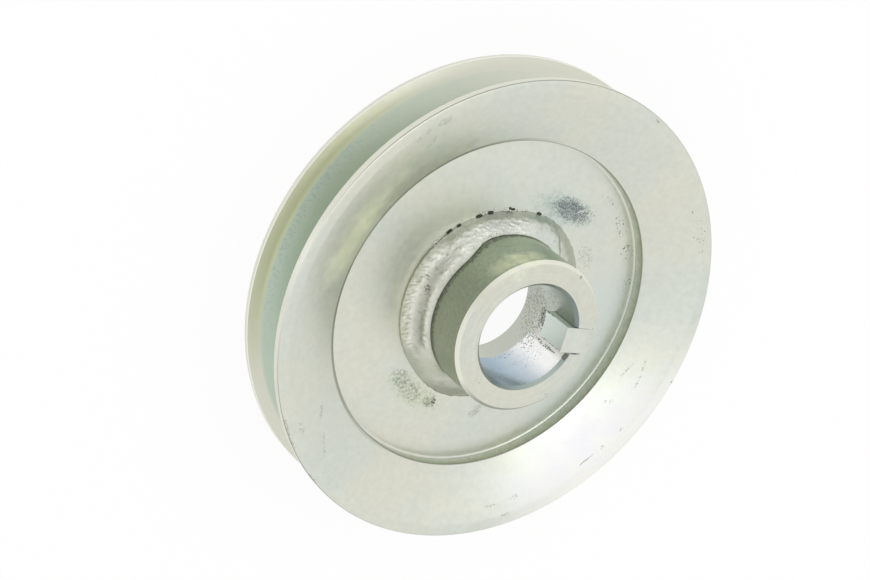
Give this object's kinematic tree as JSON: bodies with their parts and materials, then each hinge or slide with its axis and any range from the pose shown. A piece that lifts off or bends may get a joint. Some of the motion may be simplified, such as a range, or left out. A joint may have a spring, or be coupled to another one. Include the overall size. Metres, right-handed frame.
{
  "type": "belt pulley",
  "caption": "Plated pressed-steel V-belt pulley: two flanges form one groove round a flat web, with a welded tubular hub whose bore holds a square drive key.",
  "frame": {"origin": "on the axis, in the plane of the rear rim, on which the pulley stands", "axes": "+Z along the axis towards the hub's nose, +X through the middle of the drive key"},
  "size_m": [0.118, 0.118, 0.0284],
  "materials": {
    "plated_plate": "steel plate with a pale clear zinc plating, satin, faintly olive, with pits and scuffs",
    "plated_hub": "turned steel with a pale clear zinc plating, satin, with fine turning lines",
    "plated_weld": "rippled weld bead under the same plating, brighter on the ripples",
    "plated_key": "drawn steel bar with a pale clear zinc plating"
  },
  "bodies": {
    "root": {"rear_plate": "plated_plate", "front_flange": "plated_plate", "hub": "plated_hub", "hub_weld": "plated_weld", "drive_key": "plated_key"}
  },
  "joints": []
}
